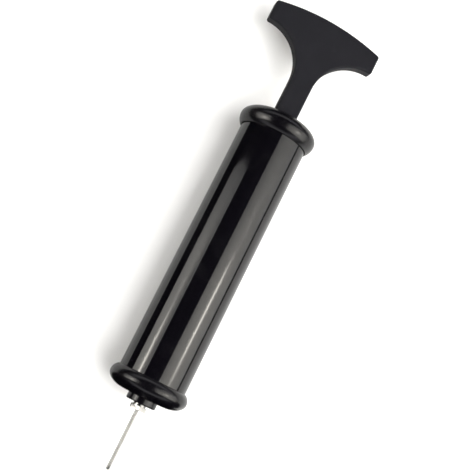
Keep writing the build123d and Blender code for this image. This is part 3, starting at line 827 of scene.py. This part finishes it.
# %% Cap finish
def moulded_black(place):
    x, _, z = place.parts()
    out_from_axis = ((z - AXIS_Z) ** 2 + x ** 2) ** 0.5
    rubbed = out_from_axis.between(BEAD_R - 1.2 * MM, BEAD_R) * place.noise(900, 3.0, 0.7).between(0.45, 0.7)
    flow = place.stretched(60, 240, 60).noise(1.0, 3.0, 0.5, 0.8)
    smears = place.noise(90, 3.0, 0.6, 0.5).between(0.5, 0.75)
    dust = specks(place, 520, 0.05)
    scuffs = place.stretched(700, 2400, 700).noise(1.0, 2.0, 0.6).between(0.66, 0.7) * rubbed
    film = (smears * 0.5 + rubbed * 0.5 + dust * 0.8).between(0, 1)
    return {
        "Base Color": film.blend((0.0014, 0.0012, 0.0020), (0.0060, 0.0058, 0.0066)),
        "Roughness": 0.19 + flow * 0.03 + smears * 0.04 + rubbed * 0.06 + scuffs * 0.2 + dust * 0.3,
        "relief": [(flow, 0.012 * MM), (place.noise(700, 1.0, 0.3), 0.0016 * MM), (scuffs, 0.002 * MM)],
    }


cap_finish = finish("polished_black_cap", moulded_black, IOR=1.47, Specular_IOR_Level=0.40)
for piece in (bottom_cap, top_cap, nozzle):
    wear(piece, cap_finish)

# %% [markdown]
# ## Spark-eroded handle
# The handle's mould was roughened with sparks, so the grip doesn't slip in the hand. That leaves an even
# skin of tiny craters of two sizes. Where a palm presses, on the arched top and on the rims, the craters
# are polished down, and the skin is a little darker and shinier there.

# %% Handle finish
def spark_eroded(place):
    _, y, z = place.parts()
    craters = place.cells(3400).between(0.05, 0.62)
    grains = place.noise(2400, 3.0, 0.7).between(0.32, 0.68)
    mottling = place.noise(130, 4.0, 0.6)
    rim = ((z - AXIS_Z) ** 2) ** 0.5
    touched = rim.between(ROD_THICK - 1.2 * MM, ROD_THICK - 0.2 * MM, 1.0, 0.0)
    palm = touched * y.between(along(196), along(212)) * place.noise(240, 3.0, 0.6).between(0.3, 0.7)
    scuffs = place.stretched(500, 160, 500).noise(1.0, 4.0, 0.7, 1.0).between(0.66, 0.74)
    dust = specks(place, 640, 0.06)
    tone = (mottling * 0.3 + grains * 0.5 + scuffs * 0.3 + dust * 0.6 - palm * 0.2).between(0.1, 1.1)
    return {
        "Base Color": tone.blend((0.0018, 0.0018, 0.0030), (0.0165, 0.0163, 0.0205)),
        "Roughness": (0.56 + mottling * 0.10 - palm * 0.16 - scuffs * 0.05).between(0.2, 0.9, 0.2, 0.9),
        "relief": [(craters, 0.018 * MM), (grains, 0.016 * MM), (scuffs, 0.006 * MM)],
    }


handle_finish = finish("spark_eroded_black", spark_eroded, IOR=1.5, Specular_IOR_Level=0.17)
wear(handle, handle_finish)

# %% [markdown]
# ## Nickel
# The needle and its hub are plated with nickel, which is a warm grey beside steel. The tube was drawn
# through a die, so its marks run along it. The hub was cut on a lathe, so its marks run round it. A few
# pits and duller stains in patches all over are what a used needle has.

# %% Nickel finishes
def nickel(line_x, line_y, polish, bright, dull):
    """Paint for plated metal whose tool marks are stretched by the two amounts."""
    def paint(place):
        marks = place.stretched(line_x, line_y, line_x).noise(1.0, 3.0, 0.6)
        stain = place.noise(620, 4.0, 0.6, 0.4).between(0.5, 0.8)
        pits = specks(place, 1500, 0.10)
        tint = (stain * 0.5 + marks * 0.35 + pits * 0.5).between(0, 1)
        return {
            "Base Color": tint.blend(bright, dull),
            "Roughness": polish + marks * 0.14 + stain * 0.12 + pits * 0.2,
            "relief": [(marks, 0.0035 * MM), (pits, -0.003 * MM)],
        }
    return paint


tube_finish = finish("nickel_drawn", nickel(5200, 160, 0.19, (0.30, 0.30, 0.295), (0.15, 0.15, 0.145)),
                     Metallic=1.0)
hub_finish = finish("nickel_turned", nickel(420, 9000, 0.13, (0.28, 0.28, 0.275), (0.14, 0.137, 0.128)),
                    Metallic=1.0)
wear(tube, tube_finish)
wear(hub, hub_finish)

# %% [markdown]
# ## Steel, zinc and brass
# Inside are four more metals. The spring's wire is drawn and slightly tempered brown, the check ball is
# ground and polished, the washer and screw are zinc plated with a faint crystal pattern, and the insert is
# turned brass that dulls in patches. They differ in colour, in roughness and in how their marks run.

# %% Inner metal finishes
def spring_wire(place):
    marks = place.stretched(3000, 7000, 3000).noise(1.0, 3.0, 0.6)
    temper = place.noise(900, 2.0, 0.5)
    return {
        "Base Color": temper.blend((0.56, 0.55, 0.53), (0.40, 0.33, 0.25)),
        "Roughness": 0.24 + marks * 0.18,
        "relief": [(marks, 0.003 * MM)],
    }


def ground_ball(place):
    arcs = place.noise(2600, 3.0, 0.7, 2.0).between(0.62, 0.66)
    oil = place.noise(520, 2.0, 0.5, 0.8).between(0.4, 0.7)
    return {
        "Base Color": oil.blend((0.70, 0.70, 0.71), (0.50, 0.47, 0.40)),
        "Roughness": 0.06 + arcs * 0.10 + oil * 0.08,
        "relief": [(arcs, 0.0008 * MM)],
    }


def zinc_plate(place):
    crystal = place.cells(760, output=1).parts()[0]
    rings = place.stretched(500, 6000, 500).noise(1.0, 3.0, 0.6)
    white_rust = place.noise(700, 4.0, 0.7).between(0.6, 0.78)
    tint = (crystal * 0.4 + white_rust * 0.6).between(0, 1)
    return {
        "Base Color": tint.blend((0.52, 0.54, 0.57), (0.70, 0.71, 0.71)),
        "Roughness": 0.28 + crystal * 0.12 + rings * 0.08 + white_rust * 0.25,
        "relief": [(rings, 0.003 * MM), (white_rust, 0.004 * MM)],
    }


def turned_brass(place):
    rings = place.stretched(300, 7600, 300).noise(1.0, 3.0, 0.65)
    tarnish = place.noise(460, 4.0, 0.6, 0.6).between(0.42, 0.75)
    return {
        "Base Color": tarnish.blend((0.74, 0.53, 0.24), (0.38, 0.24, 0.10)),
        "Roughness": 0.20 + rings * 0.16 + tarnish * 0.22,
        "relief": [(rings, 0.004 * MM)],
    }


wear(spring, finish("drawn_spring_wire", spring_wire, Metallic=1.0))
wear(nodes["valve_ball"], finish("ground_ball_steel", ground_ball, Metallic=1.0))
wear(nodes["nozzle_insert"], finish("turned_brass", turned_brass, Metallic=1.0))
zinc_finish = finish("zinc_plate", zinc_plate, Metallic=1.0)
for name in ("backing_washer", "piston_screw"):
    wear(nodes[name], zinc_finish)

# %% [markdown]
# ## Natural white plastic
# The rod's guide, the piston's carrier and the valve seat are moulded from natural acetal. It is milky
# rather than white: light goes a little way in, so it has some subsurface scattering. Grease from the
# cup darkens it in patches, and grey dust from rubbing gathers in streaks along the stroke.

# %% Natural plastic finish
def natural_plastic(place):
    flow = place.stretched(90, 260, 90).noise(1.0, 3.0, 0.5, 0.6)
    grease = place.noise(150, 4.0, 0.6, 0.7).between(0.48, 0.72)
    rubbing = place.stretched(1500, 40, 1500).noise(1.0, 2.0, 0.5).between(0.55, 0.75)
    clean = flow.blend((0.70, 0.68, 0.60), (0.78, 0.77, 0.71))
    greased = (grease * 0.6).blend(clean, (0.42, 0.37, 0.24))
    return {
        "Base Color": (rubbing * 0.35).blend(greased, (0.20, 0.20, 0.19)),
        "Roughness": 0.46 - grease * 0.22 + rubbing * 0.12,
        "relief": [(place.noise(2600, 2.0, 0.5), 0.004 * MM), (rubbing, -0.003 * MM)],
    }


plastic_finish = finish("natural_acetal", natural_plastic, IOR=1.48, Subsurface_Weight=0.25,
                        Subsurface_Scale=0.002, Subsurface_Radius=(1.0, 0.9, 0.7))
for name in ("rod_guide", "piston_carrier", "valve_seat"):
    wear(nodes[name], plastic_finish)

# %% [markdown]
# ## Black rubber
# The seals are black rubber: dull, with a grey-brown bloom where oils have come to the surface, a very
# fine grain, and shinier where grease wets them. The rubber that slides has rub marks along the stroke.

# %% Rubber finish
def black_rubber(place):
    bloom = place.noise(210, 5.0, 0.65, 0.5).between(0.46, 0.74)
    grain = place.noise(5200, 2.0, 0.6)
    wet = place.noise(120, 2.0, 0.5).between(0.5, 0.7)
    rubbing = place.stretched(1900, 60, 1900).noise(1.0, 2.0, 0.5).between(0.55, 0.75)
    tone = (bloom * 0.7 + rubbing * 0.3).between(0, 1)
    return {
        "Base Color": tone.blend((0.012, 0.012, 0.013), (0.060, 0.057, 0.052)),
        "Roughness": 0.62 + bloom * 0.18 - wet * 0.30,
        "relief": [(grain, 0.008 * MM), (rubbing, -0.005 * MM)],
    }


rubber_finish = finish("black_rubber", black_rubber, IOR=1.52)
for name in ("barrel_gasket", "rod_wiper", "nozzle_o_ring", "needle_gasket", "cup_seal", "bumper_ring"):
    wear(nodes[name], rubber_finish)

# %% [markdown]
# ## Table, wall and glowing panels
# The table is matte white board with a hint of fibre, too faint to compete with the pump. Far out, where
# the lamps no longer reach, it glows faintly, so that it stays white up to the wall. The wall only has to
# be pale. The panels glow by their own coordinates: brighter towards the needle, where the lamps
# hang, and weaker towards their edges, as cloth over a lamp is.

# %% Stage finishes
def board_of(grey):
    """Paint for matte board of one grey."""
    def paint(place):
        fibre = place.stretched(900, 260, 900).noise(1.0, 4.0, 0.6, 0.5)
        cloud = place.noise(9, 3.0, 0.5)
        return {
            "Base Color": (fibre * 0.5 + cloud * 0.5).blend([grey] * 3, [grey + 0.03] * 3),
            "Roughness": 0.80 + fibre * 0.1,
            "relief": [(fibre, 0.004 * MM)],
        }
    return paint


LIT_R = 0.20
DIM_R = 0.75


def lit_table(place):
    """White board that glows faintly far out."""
    x, y, _ = place.parts()
    far = (x * x + y * y).between(LIT_R ** 2, DIM_R ** 2)
    return {**board_of(0.87)(place), "Emission Color": far.blend((0, 0, 0), (0.95, 0.95, 0.95))}


wear(table, finish("white_board", lit_table, IOR=1.3, Emission_Strength=1.0))
# Painted shade: the mirrored boards are greyer than the white table, so its reflection in the pump is darker.
wear(shade_board_left, finish("grey_board_left", board_of(0.52), IOR=1.3))
wear(shade_board_right, finish("grey_board_right", board_of(0.58), IOR=1.3))


def pale_wall(place):
    return {"Emission Color": place.noise(0.8, 2.0, 0.4).blend((0.93, 0.93, 0.935), (0.96, 0.96, 0.96))}


wear(wall, finish("pale_wall", pale_wall, Emission_Strength=0.9, Roughness=1.0))


def glow_panel(name, panel, radiance, fades, brightest, side_level, tint=(1.0, 0.97, 0.87)):
    """Let a panel glow. Each fade along Y gives where it starts and stops, and the share before and after;
    across the panel the glow falls from its brightest line to the share that is left at the sides."""
    middle_y = panel.location.y
    half_width = panel.dimensions.x / 2

    def paint(place):
        x, y, _ = place.parts()
        aside = x - brightest
        glow = (aside * aside).between(0, half_width ** 2, 1.0, side_level)
        for start, stop, before, after in fades:
            glow = glow * y.between(start - middle_y, stop - middle_y, before, after)
        return {"Emission Color": glow.blend((0, 0, 0), tint)}
    wear(panel, finish(name, paint, Emission_Strength=radiance, Roughness=1.0))


warm = (1.0, 0.95, 0.87)
glow_panel("glow_right", box_right, 2.65, [(-0.34, -0.30, 0.7, 1.0), (0.05, 0.26, 1.0, 0.40)], -0.05, 0.27)
glow_panel("glow_lamp_right", lamp_right, 18.5, [(-0.09, -0.02, 0.22, 1.0), (0.045, 0.09, 1.0, 0.15)],
           0.0, 0.28, warm)
glow_panel("glow_left", box_left, 2.3, [(-0.06, 0.09, 1.0, 0.80), (0.09, 0.185, 1.0, 0.0)], -0.06, 0.09)
glow_panel("glow_lamp_left", lamp_left, 19.0, [(-0.24, -0.14, 0.4, 1.0), (-0.07, 0.01, 1.0, 0.2)],
           0.0, 0.25, warm)

# %% [markdown]
# ## The room's two ends
# The room is dark overhead and at both sides, or the barrel would lose its black stripes. Its two ends, past
# the needle and past the handle, are pale walls seen over the table. A straight tube that lies along Y
# sends a ray on with the same slope along Y as it came in with. So from above the barrel never mirrors the
# ends, and from low down at either end it does, which shows its roundness there too.

# %% Room
END_STARTS = 0.45
END_FULL = 0.65
room = Wire(world.node_tree)
_, end_slope, height_slope = room.node("TexCoord", {}, {}).parts()
end_wall = (end_slope * end_slope).between(END_STARTS ** 2, END_FULL ** 2)
end_wall = end_wall * height_slope.between(0.08, 0.20) * height_slope.between(0.42, 0.62, 1.0, 0.0)
room_colour = end_wall.blend((0.006, 0.006, 0.007), (1.1, 1.1, 1.12))
world.node_tree.links.new(room_colour.socket, world.node_tree.nodes["Background"].inputs["Color"])
